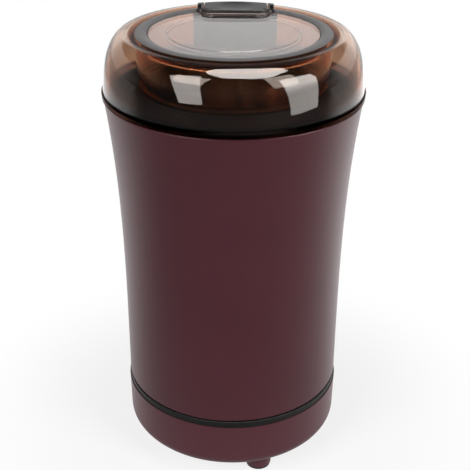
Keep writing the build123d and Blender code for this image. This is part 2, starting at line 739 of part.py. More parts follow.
# ---------------------------------------------------------------- bowl and carrier
def make_bowl_carrier():
    """Neck, trough, locating rim and deep cup that hold the bowl, motor and switch."""
    cup_inner = cup_outer - cup_wall
    shaft_hole = bush_radius + face_gap
    flare_mid = (neck_radius + shoulder_share * (shoulder_radius - neck_radius), 0,
                 shoulder + shoulder_share * (neck_top - shoulder))
    carrier = spun(
        Polyline((cup_inner, 0, cup_floor_top), (cup_inner, 0, neck_top),
                 (neck_radius, 0, neck_top)),
        ThreePointArc((neck_radius, 0, neck_top), flare_mid, (shoulder_radius, 0, shoulder)),
        Polyline((shoulder_radius, 0, shoulder), (shoulder_radius, 0, trough),
                 (rim_inner, 0, trough),
                 (rim_inner + 0.2, 0, seam + rim_rise), (rim_outer - 0.4, 0, seam + rim_rise),
                 (rim_outer, 0, seam + rim_rise - 0.4), (rim_outer, 0, housing_top + face_gap),
                 (skirt_outer, 0, housing_top + face_gap - 0.5), (skirt_outer, 0, ledge_top + face_gap),
                 (skirt_inner, 0, ledge_top + face_gap),
                 (skirt_inner, 0, deck_bottom), (cup_outer, 0, deck_bottom),
                 (cup_outer, 0, cup_floor_bottom), (shaft_hole, 0, cup_floor_bottom),
                 (shaft_hole, 0, cup_floor_top), (cup_inner, 0, cup_floor_top)),
    )
    bolt_hole = bolt_radius + ring_gap
    for side in (-1, 1):
        carrier += rod(motor_boss_radius, boss_bottom, cup_floor_bottom, side * bolt_offset)
        carrier -= rod(bolt_hole, boss_bottom, cup_floor_top - 1.0, side * bolt_offset)
    for turn in around(3, carrier_screw_turn):
        carrier += turn * rod(lug_radius, ledge_top + face_gap, deck_bottom + 0.5,
                              carrier_screw_circle)
        carrier -= turn * rod(carrier_screw_radius + face_gap, ledge_top,
                              deck_bottom + carrier_screw_bite + ring_gap, carrier_screw_circle)
    boss = rod(guide_bore + guide_boss_wall, guide_boss_bottom, deck_bottom + 0.5, 0, plunger_y)
    pad = block(switch_start, switch_end, cup_outer - switch_pad_bite, switch_near - face_gap,
                switch_bottom, switch_top - 0.5)
    carrier += boss + pad
    carrier -= rod(guide_bore, guide_boss_bottom, deck_bottom, 0, plunger_y)
    carrier -= rod(plunger_radius + ring_gap, deck_bottom - 1, neck_top, 0, plunger_y)
    for x in switch_screw_offsets:
        hole = Cylinder(switch_screw_radius + 0.05, 6, align=UP)
        carrier -= Pos(x, cup_outer - 1.3, switch_bottom + switch_screw_rise) * Rot(
            -90, 0, 0) * hole
    return carrier


def make_grinding_bowl():
    """Steel cup with a rounded floor and a flat rim that rests on the neck."""
    outer = bowl_radius + bowl_wall
    under = bowl_floor - bowl_wall
    shaft_hole = bush_radius + face_gap
    diag = sin(radians(45))
    inner_centre = (bowl_radius - bowl_corner, bowl_floor + bowl_corner)
    wide = bowl_corner + bowl_wall
    return spun(
        Polyline((shaft_hole, 0, bowl_floor), (shaft_hole, 0, under), (inner_centre[0], 0, under)),
        ThreePointArc((inner_centre[0], 0, under),
                      (inner_centre[0] + wide * diag, 0, inner_centre[1] - wide * diag),
                      (outer, 0, inner_centre[1])),
        Polyline((outer, 0, inner_centre[1]), (outer, 0, bowl_top - bowl_wall),
                 (bowl_rim_radius, 0, bowl_top - bowl_wall), (bowl_rim_radius, 0, bowl_top),
                 (bowl_radius, 0, bowl_top), (bowl_radius, 0, inner_centre[1])),
        ThreePointArc((bowl_radius, 0, inner_centre[1]),
                      (inner_centre[0] + bowl_corner * diag, 0,
                       inner_centre[1] - bowl_corner * diag),
                      (inner_centre[0], 0, bowl_floor)),
        Line((inner_centre[0], 0, bowl_floor), (shaft_hole, 0, bowl_floor)),
    )


def make_bowl_seal():
    """Flat rubber ring under the bowl's rim."""
    return tube(bowl_rim_radius, bowl_radius + bowl_wall + ring_gap, neck_top,
                bowl_top - bowl_wall)


def make_shaft_bush():
    """Sealing bush round the shaft, through the bowl's and the carrier's floors."""
    low = cup_floor_bottom - 1.5
    bush = tube(bush_radius, shaft_radius + fit_gap, low, bowl_floor)
    return bush + tube(bush_flange_radius, shaft_radius + fit_gap, bowl_floor,
                       bowl_floor + bush_flange)


def make_carrier_screws():
    """Screws up through the casing's ledge into the carrier."""
    low = ledge_top - ledge_thickness - carrier_screw_head
    one = screw(carrier_screw_radius, carrier_screw_head_radius, carrier_screw_head, low,
                deck_bottom + carrier_screw_bite, 0.6)
    return [turn * Pos(carrier_screw_circle, 0, 0) * one for turn in around(3, carrier_screw_turn)]


# ---------------------------------------------------------------- plunger and switch
def make_switch_plunger():
    """Pin with a stop flange and a stem whose tip presses the switch's lever."""
    flange_top = deck_bottom - slide_gap
    flange_low = flange_top - plunger_flange
    head = rod(plunger_radius, flange_top, plunger_top, 0, plunger_y)
    head = fillet(round_edges(head, plunger_top), 0.8)
    flange = rod(plunger_flange_radius, flange_low, flange_top, 0, plunger_y)
    taper = plunger_stem - plunger_tip
    stem = rod(plunger_stem, plunger_bottom + taper, flange_low, 0, plunger_y)
    tip = Pos(0, plunger_y, plunger_bottom) * Cone(plunger_tip, plunger_stem, taper, align=UP)
    return head + flange + stem + tip


def make_plunger_cap():
    """Cap at the bottom of the plunger's guide; the spring stands on it."""
    cap = tube(guide_bore + guide_boss_wall, plunger_stem + ring_gap, cap_bottom,
               guide_boss_bottom - face_gap, 0, plunger_y)
    return cap - rod(cup_outer + face_gap, cap_bottom, guide_boss_bottom)


def make_plunger_spring():
    """Coil spring between the cap and the plunger's flange."""
    low = guide_boss_bottom + spring_wire
    high = deck_bottom - slide_gap - plunger_flange - spring_wire - 0.05
    path = Helix((high - low) / spring_turns, high - low, spring_radius)
    wire = Plane(origin=path @ 0, z_dir=path % 0) * Circle(spring_wire)
    return Pos(0, plunger_y, low) * sweep(wire, path=path, is_frenet=True)


def make_switch_case():
    """Microswitch case with two ears and the pin that the lever turns on."""
    case = block(switch_start, switch_end, switch_near, switch_far, switch_bottom, switch_top)
    case = chamfer(case.edges().filter_by(Axis.Y), 0.3)
    ear_wall = (switch_width - lever_width) / 2 - slide_gap
    for y0 in (switch_near, switch_far - ear_wall):
        case += block(lever_pivot_x - 0.8, lever_pivot_x + 0.8, y0, y0 + ear_wall,
                      switch_top - 0.5, pivot_z + 0.8)
    pin = Pos(lever_pivot_x, switch_near, pivot_z) * Rot(-90, 0, 0) * Cylinder(
        lever_pin_radius, switch_width, align=UP)
    case += pin
    case -= rod(switch_button_radius + 0.1, switch_top - switch_button_depth, switch_top + 1,
                switch_button_x, plunger_y)
    for x in (switch_start + 2.2, switch_end - 2.2):
        case += block(x - 0.3, x + 0.3, plunger_y - 1.5, plunger_y + 1.5,
                      switch_bottom - switch_blade_length, switch_bottom + 0.5)
    for x in switch_screw_offsets:
        hole = Cylinder(switch_screw_radius + 0.05, switch_width + 2, align=UP)
        case -= Pos(x, switch_near - 1, switch_bottom + switch_screw_rise) * Rot(
            -90, 0, 0) * hole
    return case


def make_switch_lever():
    """Sprung lever, an eye on the case's pin and a blade that rises to the plunger."""
    eye_outer = lever_pin_radius + 0.05 + lever_eye_wall
    y0 = plunger_y - lever_width / 2
    eye = Pos(0, y0, 0) * Rot(-90, 0, 0) * (
        Cylinder(eye_outer, lever_width, align=UP)
        - Cylinder(lever_pin_radius + 0.05, lever_width, align=UP))
    blade = block(lever_pin_radius + 0.2, lever_reach, y0, y0 + lever_width, 0, lever_thickness)
    blade -= Pos(0, y0 - 1, 0) * Rot(-90, 0, 0) * Cylinder(
        lever_pin_radius + 0.05, lever_width + 2, align=UP)
    return Pos(lever_pivot_x, 0, pivot_z) * Rot(0, -lever_angle, 0) * (eye + blade)


def make_switch_button():
    """The microswitch's own small button under the lever."""
    low = switch_top - switch_button_depth + press_travel * button_ratio + slide_gap
    button = rod(switch_button_radius, low, switch_top + switch_button_rise,
                 switch_button_x, plunger_y)
    return fillet(round_edges(button, switch_top + switch_button_rise), 0.3)


def make_switch_screws():
    """Two small screws through the switch into the carrier's pad."""
    low = switch_far + switch_screw_head
    one = screw(switch_screw_radius, switch_screw_head_radius, switch_screw_head, 0,
                low - (cup_outer - 1.2), 0.4)
    return [Pos(x, low, switch_bottom + switch_screw_rise) * Rot(90, 0, 0) * one
            for x in switch_screw_offsets]


# ---------------------------------------------------------------- motor
def make_upper_bracket():
    """Upper motor bracket: bar, bearing seat and two legs down to the stator."""
    half = bracket_length / 2
    low = bracket_top - bracket_plate
    bar = block(-half, half, -bracket_width / 2, bracket_width / 2, low, bracket_top)
    bar = fillet(bar.edges().filter_by(Axis.Z), 3)
    seat = rod(bearing_seat_radius, low, low + bearing_length)
    bracket = bar + seat
    for side in (-1, 1):
        inner, outer = sorted((side * (half - bracket_leg), side * half))
        bracket += block(inner, outer, -bracket_width / 2 + 3, bracket_width / 2 - 3,
                         stator_top, low)
        bracket -= rod(bolt_radius + ring_gap, stator_top, bracket_top, side * bolt_offset)
    return bracket - rod(bearing_radius + face_gap, low, low + bearing_length)


def make_lower_bracket():
    """Lower motor bracket: bar, bearing seat, legs up to the stator and the brush mounts."""
    half = bracket_length / 2
    bar = block(-half, half, -bracket_width / 2, bracket_width / 2, lower_plate_bottom,
                lower_plate_top)
    bar = fillet(bar.edges().filter_by(Axis.Z), 3)
    bracket = bar + rod(bearing_seat_radius, bearing_bottom, lower_plate_top)
    holder_low = brush_height - brush_side / 2 - 0.2 - brush_holder_wall
    for side in (-1, 1):
        inner, outer = sorted((side * (half - bracket_leg), side * half))
        bracket += block(inner, outer, -bracket_width / 2 + 3, bracket_width / 2 - 3,
                         lower_plate_top, stator_bottom)
        inner, outer = sorted((side * brush_holder_start, side * brush_holder_end))
        bracket += block(inner, outer, -brush_mount_half_width, brush_mount_half_width,
                         lower_plate_top, holder_low - face_gap)
        bracket -= rod(bolt_radius + ring_gap, lower_plate_bottom, stator_bottom,
                       side * bolt_offset)
    return bracket - rod(bearing_radius + face_gap, bearing_bottom, lower_plate_top)


def make_bearing(low):
    """Sintered bush in a bracket's seat."""
    bearing = tube(bearing_radius, shaft_radius + fit_gap, low, low + bearing_length)
    return chamfer(round_edges(bearing, low) + round_edges(bearing, low + bearing_length), 0.3)


def make_stator_core():
    """Laminated core: rounded block, round window and two pole shoes."""
    half = stator_width / 2
    block_core = block(-half, half, -stator_depth / 2, stator_depth / 2, stator_bottom, stator_top)
    block_core = fillet(block_core.edges().filter_by(Axis.Z), stator_corner)
    core = block_core - rod(stator_window, stator_bottom, stator_top)
    for centre in (0, 180):
        shoe = sector(armature_radius + air_gap + 2.4, pole_half_angle, stator_bottom,
                      stator_top, centre)
        neck = sector(stator_window + 0.5, pole_half_angle / 2, stator_bottom, stator_top, centre)
        core += shoe + neck
    core -= rod(armature_radius + air_gap, stator_bottom, stator_top)
    for side in (-1, 1):
        core -= rod(bolt_radius + ring_gap, stator_bottom, stator_top, side * bolt_offset)
    return core


def make_field_coils():
    """Two wound coils, each a curved loop round a pole's neck."""
    low, high = stator_bottom - coil_overhang, stator_top + coil_overhang
    inner = armature_radius + air_gap + 2.4 + coil_gap
    coils = []
    for centre in (0, 180):
        loop = sector(coil_outer, coil_half_angle, low, high, centre)
        loop -= rod(inner, low, high)
        loop -= sector(stator_window, pole_half_angle / 2 + 2, stator_bottom - coil_gap,
                       stator_top + coil_gap, centre)
        coils.append(loop)
    return coils


def make_motor_bolts():
    """Two long bolts through both brackets, the stator and the dampers into the carrier."""
    one = screw(bolt_radius, bolt_head_radius, bolt_head, lower_plate_bottom - bolt_head,
                cup_floor_top - 1.2)
    return [Pos(side * bolt_offset, 0, 0) * one for side in (-1, 1)]


def make_motor_dampers():
    """Rubber rings between the motor and the carrier."""
    rings = []
    for side in (-1, 1):
        ring = tube(damper_radius, bolt_radius + ring_gap, bracket_top, boss_bottom,
                    side * bolt_offset)
        waist = (bracket_top + boss_bottom) / 2
        groove = tube(damper_radius + 1, damper_radius - 0.8, waist - 0.8, waist + 0.8,
                      side * bolt_offset)
        rings.append(ring - groove)
    return rings


def make_brush_holders():
    """Brass boxes that guide the carbon brushes."""
    outer = brush_side / 2 + 0.2 + brush_holder_wall
    inner = brush_side / 2 + 0.2
    holders = []
    for side in (0, 180):
        tube_box = block(brush_holder_start, brush_holder_end, -outer, outer,
                         brush_height - outer, brush_height + outer)
        tube_box -= block(brush_holder_start, brush_holder_end - brush_holder_wall, -inner,
                          inner, brush_height - inner, brush_height + inner)
        holders.append(Rot(0, 0, side) * tube_box)
    return holders


def make_carbon_brushes():
    """Carbon blocks whose ends are hollowed to the commutator."""
    half = brush_side / 2
    start = commutator_radius - 1
    brush = block(start, commutator_radius + brush_length, -half, half, brush_height - half,
                  brush_height + half)
    brush -= rod(commutator_radius + 0.06, brush_height - 5, brush_height + 5)
    return [Rot(0, 0, side) * brush for side in (0, 180)]


def make_brush_springs():
    """Zigzag strip springs behind the brushes."""
    start = commutator_radius + brush_length + face_gap
    end = brush_holder_end - brush_holder_wall - face_gap
    half = brush_side / 2 - 0.2
    step = (end - start) / brush_spring_bends
    near = []
    for bend in range(brush_spring_bends + 1):
        y = half - brush_spring_thickness if bend % 2 else -half
        near.append((start + bend * step, y))
    far = [(x, y + brush_spring_thickness) for x, y in reversed(near)]
    strip = Polyline(*near, *far, close=True)
    width = brush_side / 2
    spring = Pos(0, 0, brush_height - width / 2) * extrude(make_face(strip), width)
    return [Rot(0, 0, side) * spring for side in (0, 180)]


def make_rotor_shaft():
    """Shaft from the fan up to the blade's nut, stepped for the blade."""
    shaft = rod(shaft_radius, fan_bottom - 1, blade_bottom)
    shaft = chamfer(round_edges(shaft, fan_bottom - 1), 0.5)
    return shaft + rod(thread_radius, blade_bottom, blade_top + nut_height)


def on_shaft(outer, low, high):
    """Disc that sits on the shaft."""
    return tube(outer, shaft_radius + 0.02, low, high)


def make_armature_core():
    """Slotted stack of laminations."""
    core = on_shaft(armature_radius, stator_bottom, stator_top)
    for turn in around(armature_slots):
        slot = block(slot_inner, slot_outer, -slot_width / 2, slot_width / 2, stator_bottom,
                     stator_top)
        slot += block(slot_outer, armature_radius + 1, -slot_mouth / 2, slot_mouth / 2,
                      stator_bottom, stator_top)
        core -= turn * slot
    return core


def make_armature_windings():
    """Copper in the slots with rounded end turns."""
    inset = 0.15
    low, high = stator_bottom - winding_overhang, stator_top + winding_overhang
    lower = tube(winding_radius, winding_inner, low, stator_bottom - face_gap)
    lower = fillet([max(round_edges(lower, low), key=lambda e: e.radius)], winding_rounding)
    upper = tube(winding_radius, winding_inner, stator_top + face_gap, high)
    upper = fillet([max(round_edges(upper, high), key=lambda e: e.radius)], winding_rounding)
    windings = lower + upper
    half = slot_width / 2 - inset
    for turn in around(armature_slots):
        windings += turn * block(slot_inner + inset, slot_outer - inset, -half, half,
                                 stator_bottom - 1, stator_top + 1)
    return windings


def make_commutator():
    """Copper segments with slits and a riser ring."""
    low = commutator_top - commutator_riser - commutator_length
    drum = on_shaft(commutator_radius, low, commutator_top - commutator_riser)
    for turn in around(armature_slots, 180 / armature_slots):
        drum -= turn * block(commutator_radius - commutator_slit_depth, commutator_radius + 1,
                             -commutator_slit / 2, commutator_slit / 2, low,
                             commutator_top - commutator_riser)
    return drum + on_shaft(commutator_radius + 1, commutator_top - commutator_riser,
                           commutator_top)


def make_cooling_fan():
    """Plate with curved vanes below it and a hub on the shaft."""
    fan = on_shaft(fan_hub, fan_bottom, fan_top)
    fan += on_shaft(fan_radius, fan_top - fan_plate, fan_top)
    bow = 18.0
    ring = tube(bow, bow - fan_vane, fan_bottom, fan_top)
    for turn in around(fan_vanes):
        vane = Pos(fan_radius / 2 + 1.5, -bow + 2.0, 0) * ring
        keep = block(fan_hub - 0.5, fan_radius, -fan_radius / 2, fan_radius / 2, fan_bottom,
                     fan_top - 0.5)
        vane &= keep & rod(fan_radius - 0.3, fan_bottom, fan_top)
        vane &= block(0, fan_radius, -bow / 2, bow / 2, fan_bottom, fan_top)
        fan += turn * vane
    return fan


# ---------------------------------------------------------------- blade
def make_blade_hub():
    """Spacer between the bush and the blade."""
    return chamfer(round_edges(on_shaft(hub_radius, hub_bottom, blade_bottom), hub_bottom), 0.4)


def blade_tip(angle):
    """Tapered tip, bent up by an angle at the bend line."""
    length = (blade_reach - blade_bend) / cos(radians(angle))
    half, end = blade_bend_width / 2, blade_tip_width / 2
    outline = make_face(Polyline((-0.3, -half), (length, -end), (length - 1.2, end),
                                 (-0.3, half), close=True))
    tip = extrude(outline, blade_thickness)
    edge = [e for e in tip.edges() if e.center().Y < -end + 0.2 and e.center().Z > 0.1
            and e.length > 4]
    tip = chamfer(edge, blade_bevel)
    return Pos(blade_bend, 0, blade_bottom) * Rot(0, -angle, 0) * tip


def make_blade():
    """Two-armed cutting blade, one tip bent up and the other down."""
    root, bend = blade_root_width / 2, blade_bend_width / 2
    arm = make_face(Polyline((0, -root), (blade_bend, -bend), (blade_bend, bend), (0, root),
                             close=True))
    flat = extrude(arm, blade_thickness)
    flat = Pos(0, 0, blade_bottom) * flat
    blade = rod(blade_centre, blade_bottom, blade_top)
    for turn, angle in ((0, blade_up), (180, -blade_down)):
        blade += Rot(0, 0, turn) * (flat + blade_tip(angle))
    return blade - rod(thread_radius + 0.02, blade_bottom - 1, blade_top + 1)


def make_blade_nut():
    """Domed hexagon nut that holds the blade."""
    body = Pos(0, 0, blade_top) * extrude(RegularPolygon(nut_across / 2, 6, major_radius=False),
                                          nut_height)
    ball_radius = (nut_across ** 2 / 4 / nut_dome + nut_dome) / 2
    ball = Pos(0, 0, nut_top - ball_radius) * Sphere(ball_radius)
    dome = ball & rod(nut_across / 2, blade_top + nut_height, nut_top)
    return body + dome - rod(thread_radius + 0.02, blade_top, blade_top + nut_height)


# ---------------------------------------------------------------- all pieces
def group(solids):
    """Several separate solids as one node."""
    return Compound(children=[s.solid() if s.solids() else s for s in solids])


nodes = {
    "housing_shell": make_housing(),
    "trim_band": make_trim_band(),
    "base_cap": make_base_cap(),
    "foot_pads": group(make_foot_pads()),
    "base_screws": group(make_base_screws()),
    "cord_gland": make_cord_gland(),
    "lid_shell": make_lid_shell(),
    "lid_window": make_lid_window(),
    "lid_ring": make_lid_ring(),
    "press_guide": make_press_guide(),
    "press_tab": make_press_tab(),
    "push_rod": make_push_rod(),
    "bowl_carrier": make_bowl_carrier(),
    "grinding_bowl": make_grinding_bowl(),
    "bowl_seal": make_bowl_seal(),
    "shaft_bush": make_shaft_bush(),
    "carrier_screws": group(make_carrier_screws()),
    "switch_plunger": make_switch_plunger(),
    "plunger_cap": make_plunger_cap(),
    "plunger_spring": make_plunger_spring(),
    "switch_case": make_switch_case(),
    "switch_lever": make_switch_lever(),
    "switch_button": make_switch_button(),
    "switch_screws": group(make_switch_screws()),
    "upper_bracket": make_upper_bracket(),
    "lower_bracket": make_lower_bracket(),
    "upper_bearing": make_bearing(bracket_top - bracket_plate),
    "lower_bearing": make_bearing(bearing_bottom),
    "stator_core": make_stator_core(),
    "field_coils": group(make_field_coils()),
    "motor_bolts": group(make_motor_bolts()),
    "motor_dampers": group(make_motor_dampers()),
    "brush_holders": group(make_brush_holders()),
    "carbon_brushes": group(make_carbon_brushes()),
    "brush_springs": group(make_brush_springs()),
    "rotor_shaft": make_rotor_shaft(),
    "armature_core": make_armature_core(),
    "armature_windings": make_armature_windings(),
    "commutator": make_commutator(),
    "cooling_fan": make_cooling_fan(),
    "blade_hub": make_blade_hub(),
    "blade": make_blade(),
    "blade_nut": make_blade_nut(),
}

os.makedirs("parts", exist_ok=True)
for name, shape in nodes.items():
    export_step(shape, f"parts/{name}.step")
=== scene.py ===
import json
import math

import bpy
from mathutils import Matrix, Vector


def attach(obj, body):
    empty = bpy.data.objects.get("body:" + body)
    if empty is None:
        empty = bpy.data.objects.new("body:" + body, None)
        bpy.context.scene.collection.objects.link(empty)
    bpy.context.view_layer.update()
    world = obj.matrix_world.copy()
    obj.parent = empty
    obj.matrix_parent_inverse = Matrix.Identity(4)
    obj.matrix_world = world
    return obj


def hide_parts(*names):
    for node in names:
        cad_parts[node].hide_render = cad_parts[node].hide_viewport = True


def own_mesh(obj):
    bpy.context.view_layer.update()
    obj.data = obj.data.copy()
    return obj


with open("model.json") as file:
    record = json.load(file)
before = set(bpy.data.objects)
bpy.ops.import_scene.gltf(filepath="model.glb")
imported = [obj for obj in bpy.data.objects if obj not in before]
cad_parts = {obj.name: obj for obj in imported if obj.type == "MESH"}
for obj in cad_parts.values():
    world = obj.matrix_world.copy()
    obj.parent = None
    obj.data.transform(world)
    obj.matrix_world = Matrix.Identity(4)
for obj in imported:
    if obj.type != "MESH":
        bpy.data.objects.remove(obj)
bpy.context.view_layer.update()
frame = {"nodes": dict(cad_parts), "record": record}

scene = bpy.context.scene
scene.view_settings.view_transform = "Standard"

white_light = (1.0, 1.0, 1.0)

# Lengths and places are in metres, in the part's own frame: floor at Z 0, front towards -Y.


# ---------------------------------------------------------------- node helpers
def ramp_of(tree, value, low, high, start, end):
    """Smooth step from start to end while a value goes from low to high."""
    ramp = tree.nodes.new("ShaderNodeMapRange")
    ramp.interpolation_type = "SMOOTHSTEP"
    ramp.inputs["From Min"].default_value = low
    ramp.inputs["From Max"].default_value = high
    ramp.inputs["To Min"].default_value = start
    ramp.inputs["To Max"].default_value = end
    tree.links.new(value, ramp.inputs["Value"])
    return ramp.outputs[0]


def math_of(tree, operation, first, second):
    """Math node of a linked value and a linked value or number."""
    node = tree.nodes.new("ShaderNodeMath")
    node.operation = operation
    tree.links.new(first, node.inputs[0])
    if isinstance(second, (int, float)):
        node.inputs[1].default_value = second
    else:
        tree.links.new(second, node.inputs[1])
    return node.outputs[0]


def product_of(tree, first, *others):
    """Product of two or more linked values."""
    for other in others:
        first = math_of(tree, "MULTIPLY", first, other)
    return first


def object_place(tree):
    """Place in a piece's own axes, which are the part's axes at rest."""
    return tree.nodes.new("ShaderNodeTexCoord").outputs["Object"]


def axes_of(tree, place):
    """X, Y and Z of a place."""
    split = tree.nodes.new("ShaderNodeSeparateXYZ")
    tree.links.new(place, split.inputs[0])
    return split.outputs["X"], split.outputs["Y"], split.outputs["Z"]


def radius_of(tree, place):
    """Distance of a place from the upright axis."""
    flat = tree.nodes.new("ShaderNodeVectorMath")
    flat.operation = "MULTIPLY"
    flat.inputs[1].default_value = (1, 1, 0)
    tree.links.new(place, flat.inputs[0])
    length = tree.nodes.new("ShaderNodeVectorMath")
    length.operation = "LENGTH"
    tree.links.new(flat.outputs[0], length.inputs[0])
    return length.outputs["Value"]


def mask_of(tree, value, low, high):
    """One where a value lies between two limits, zero elsewhere, with soft edges."""
    soft = 0.0004
    above = ramp_of(tree, value, low - soft, low + soft, 0.0, 1.0)
    below = ramp_of(tree, value, high - soft, high + soft, 1.0, 0.0)
    return product_of(tree, above, below)


def blend_of(tree, mask, base, colour):
    """Linked colour with a constant colour laid over it where the mask is one."""
    mix = tree.nodes.new("ShaderNodeMix")
    mix.data_type = "RGBA"
    tree.links.new(mask, mix.inputs[0])
    tree.links.new(base, mix.inputs[6])
    mix.inputs[7].default_value = (*colour, 1)
    return mix.outputs[2]


def shader_of(tree, kind, colour, strength=None):
    """Shader of one colour, with a strength, if any, that is a number or a linked value."""
    node = tree.nodes.new(kind)
    node.inputs["Color"].default_value = (*colour, 1)
    if isinstance(strength, (int, float)):
        node.inputs["Strength"].default_value = strength
    elif strength is not None:
        tree.links.new(strength, node.inputs["Strength"])
    return node.outputs[0]


def mix_of(tree, share, first, second):
    """First shader where the share is zero, second shader where it is one."""
    mix = tree.nodes.new("ShaderNodeMixShader")
    tree.links.new(share, mix.inputs[0])
    tree.links.new(first, mix.inputs[1])
    tree.links.new(second, mix.inputs[2])
    return mix.outputs[0]


def seen_directly(tree):
    """One where a ray comes from the camera, straight or through clear pieces, else zero."""
    path = tree.nodes.new("ShaderNodeLightPath")
    bounces = math_of(tree, "ADD", path.outputs["Diffuse Depth"], path.outputs["Glossy Depth"])
    straight = math_of(tree, "LESS_THAN", bounces, 0.5)
    through = product_of(tree, path.outputs["Is Transmission Ray"], straight)
    return math_of(tree, "MAXIMUM", path.outputs["Is Camera Ray"], through)


def empty_material(name):
    """Material with an empty node tree."""
    material = bpy.data.materials.new(name)
    material.use_nodes = True
    material.node_tree.nodes.clear()
    return material


def close_tree(tree, kind, shader):
    """Output node of a tree that was built from nothing."""
    out = tree.nodes.new(kind)
    tree.links.new(shader, out.inputs[0])


# ---------------------------------------------------------------- camera
def make_camera():
    """Camera at the photo's height, tilt and lens."""
    distance, eye_height = 0.3616, 0.2807
    around, pitch, roll = math.radians(1.1), math.radians(27.44), math.radians(0.3)
    data = bpy.data.cameras.new("camera")
    data.sensor_width = 36.0
    data.lens = 76.2
    data.shift_x = 0.0045
    data.clip_start = 0.01
    data.clip_end = 50.0
    cam = bpy.data.objects.new("camera", data)
    eye = (math.sin(around) * distance, -math.cos(around) * distance, eye_height)
    cam.matrix_world = (
        Matrix.Translation(eye)
        @ Matrix.Rotation(around, 4, "Z")
        @ Matrix.Rotation(math.pi / 2 - pitch, 4, "X")
        @ Matrix.Rotation(roll, 4, "Z"))
    scene.collection.objects.link(cam)
    scene.camera = cam


# ---------------------------------------------------------------- light and floor
def area(name, place, size, watts):
    """Rectangular lamp that faces the part and shows in no reflection."""
    target = Vector((0, 0, 0.1))
    data = bpy.data.lights.new(name, "AREA")
    data.shape = "RECTANGLE"
    data.size, data.size_y = size
    data.energy = watts
    lamp = bpy.data.objects.new(name, data)
    lamp.location = place
    lamp.rotation_euler = (target - Vector(place)).to_track_quat("-Z", "Y").to_euler()
    lamp.visible_glossy = False
    scene.collection.objects.link(lamp)


def card(name, corners, strength, fade):
    """Softbox that shows in reflections only. Fade is a low height, a high height and the
    share of the strength that is left below the low one."""
    warm = (1.0, 0.95, 0.91)
    low, high, share = fade
    mesh = bpy.data.meshes.new(name)
    mesh.from_pydata(corners, [], [tuple(range(len(corners)))])
    box = bpy.data.objects.new(name, mesh)
    scene.collection.objects.link(box)
    material = empty_material(name)
    tree = material.node_tree
    place = tree.nodes.new("ShaderNodeNewGeometry").outputs["Position"]
    height = axes_of(tree, place)[2]
    level = ramp_of(tree, height, low, high, strength * share, strength)
    close_tree(tree, "ShaderNodeOutputMaterial",
               shader_of(tree, "ShaderNodeEmission", warm, level))
    mesh.materials.append(material)
    for ray in ("camera", "diffuse", "transmission", "volume_scatter", "shadow"):
        setattr(box, "visible_" + ray, False)


def make_world():
    """Studio surround: dark in front and above, a bright low band behind, a little brighter on
    the right, and white where the camera sees it."""
    world = bpy.data.worlds.new("studio")
    scene.world = world
    world.use_nodes = True
    tree = world.node_tree
    tree.nodes.clear()
    x, y, z = axes_of(tree, tree.nodes.new("ShaderNodeTexCoord").outputs["Generated"])
    depth = ramp_of(tree, y, low=-0.10, high=0.70, start=0.06, end=0.95)
    height = ramp_of(tree, z, low=0.30, high=0.38, start=1.0, end=0.08)
    side = ramp_of(tree, x, low=-1.0, high=1.0, start=0.85, end=1.35)
    level = product_of(tree, depth, side, height)
    light = shader_of(tree, "ShaderNodeBackground", white_light, level)
    white = shader_of(tree, "ShaderNodeBackground", white_light, 1.0)
    close_tree(tree, "ShaderNodeOutputWorld", mix_of(tree, seen_directly(tree), light, white))


def floor_bounce(tree, place, reach):
    """What light and reflections get from the floor: more behind than in front, less far off."""
    x, y, _ = axes_of(tree, place)
    depth = ramp_of(tree, y, low=-0.14, high=0.14, start=0.10, end=1.30)
    side = ramp_of(tree, x, low=-0.3, high=0.3, start=0.9, end=1.25)
    far = ramp_of(tree, reach, low=0.50, high=0.75, start=1.0, end=0.40)
    glow = shader_of(tree, "ShaderNodeEmission", white_light, product_of(tree, depth, side, far))
    matt = shader_of(tree, "ShaderNodeBsdfDiffuse", (0.15, 0.15, 0.15))
    paint = tree.nodes.new("ShaderNodeAddShader")
    tree.links.new(glow, paint.inputs[0])
    tree.links.new(matt, paint.inputs[1])
    return paint.outputs[0]


def floor_backdrop(tree, reach):
    """What the camera sees of the floor: white, with a soft shadow near the part."""
    pale = shader_of(tree, "ShaderNodeBsdfDiffuse", (0.95, 0.95, 0.95))
    glow = shader_of(tree, "ShaderNodeEmission", white_light, 1.0)
    share = ramp_of(tree, reach, low=0.05, high=0.14, start=0.78, end=1.0)
    return mix_of(tree, share, pale, glow)


def make_floor():
    """Plain floor with one look for the camera and another for light and reflections."""
    half = 6.0
    mesh = bpy.data.meshes.new("floor")
    mesh.from_pydata([(-half, -half, 0), (half, -half, 0), (half, half, 0), (-half, half, 0)], [],
                     [(0, 1, 2, 3)])
    floor = bpy.data.objects.new("floor", mesh)
    scene.collection.objects.link(floor)
    material = empty_material("floor_white")
    tree = material.node_tree
    place = tree.nodes.new("ShaderNodeNewGeometry").outputs["Position"]
    reach = radius_of(tree, place)
    mixed = mix_of(tree, seen_directly(tree), floor_bounce(tree, place, reach),
                   floor_backdrop(tree, reach))
    close_tree(tree, "ShaderNodeOutputMaterial", mixed)
    mesh.materials.append(material)


# ---------------------------------------------------------------- finishes
def noise_of(tree, place, size, detail):
    """Noise of a size in metres."""
    noise = tree.nodes.new("ShaderNodeTexNoise")
    noise.inputs["Scale"].default_value = 1.0 / size
    noise.inputs["Detail"].default_value = detail
    tree.links.new(place, noise.inputs["Vector"])
    return noise.outputs["Fac"]


def mottle_of(tree, noise, dark, light):
    """Colour that goes from dark to light as broad noise goes from low to high."""
    low, high = 0.3, 0.7
    colours = tree.nodes.new("ShaderNodeValToRGB")
    stops = colours.color_ramp.elements
    for stop, position, colour in ((stops[0], low, dark), (stops[1], high, light)):
        stop.position = position
        stop.color = (*colour, 1)
    tree.links.new(noise, colours.inputs["Fac"])
    return colours.outputs["Color"]


